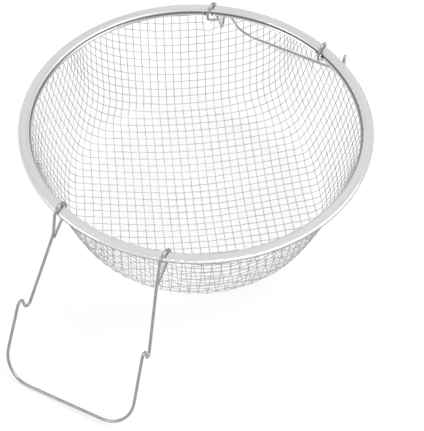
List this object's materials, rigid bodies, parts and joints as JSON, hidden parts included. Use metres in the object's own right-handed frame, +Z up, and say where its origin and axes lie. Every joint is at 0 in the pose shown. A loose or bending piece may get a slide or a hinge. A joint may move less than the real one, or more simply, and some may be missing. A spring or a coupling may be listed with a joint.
{
  "type": "deep fryer basket",
  "caption": "Round wire mesh basket with a flat steel rim and swinging wire handles hooked over it, each with a bent pot rest, for lifting fried food out of hot oil.",
  "frame": {"origin": "middle of the bowl, on the flat at the centre of the dish that touches the table", "axes": "+Z up out of the mouth, -Y towards the front handle, +Y towards the rear handle, X along the hinge lines of the handles"},
  "size_m": [0.25, 0.3899, 0.0979],
  "materials": {
    "mesh_wire": "plain drawn wire, slightly dull",
    "rim_steel": "smooth rolled strip, satin to bright",
    "handle_wire": "smooth drawn wire"
  },
  "bodies": {
    "basket": {"mesh_bowl": "mesh_wire", "rim_band": "rim_steel"},
    "front_handle": {"front_handle": "handle_wire"},
    "rear_handle": {"rear_handle": "handle_wire"}
  },
  "joints": [
    {"name": "front_handle_swing", "type": "hinge", "parent": "basket", "child": "front_handle", "pos_m": [0, -0.11455, 0.0902], "axis": [-1, 0, 0], "range_deg": [-30, 258]},
    {"name": "rear_handle_swing", "type": "hinge", "parent": "basket", "child": "rear_handle", "pos_m": [0, 0.11152, 0.0902], "axis": [1, 0, 0], "range_deg": [-30, 258]}
  ]
}
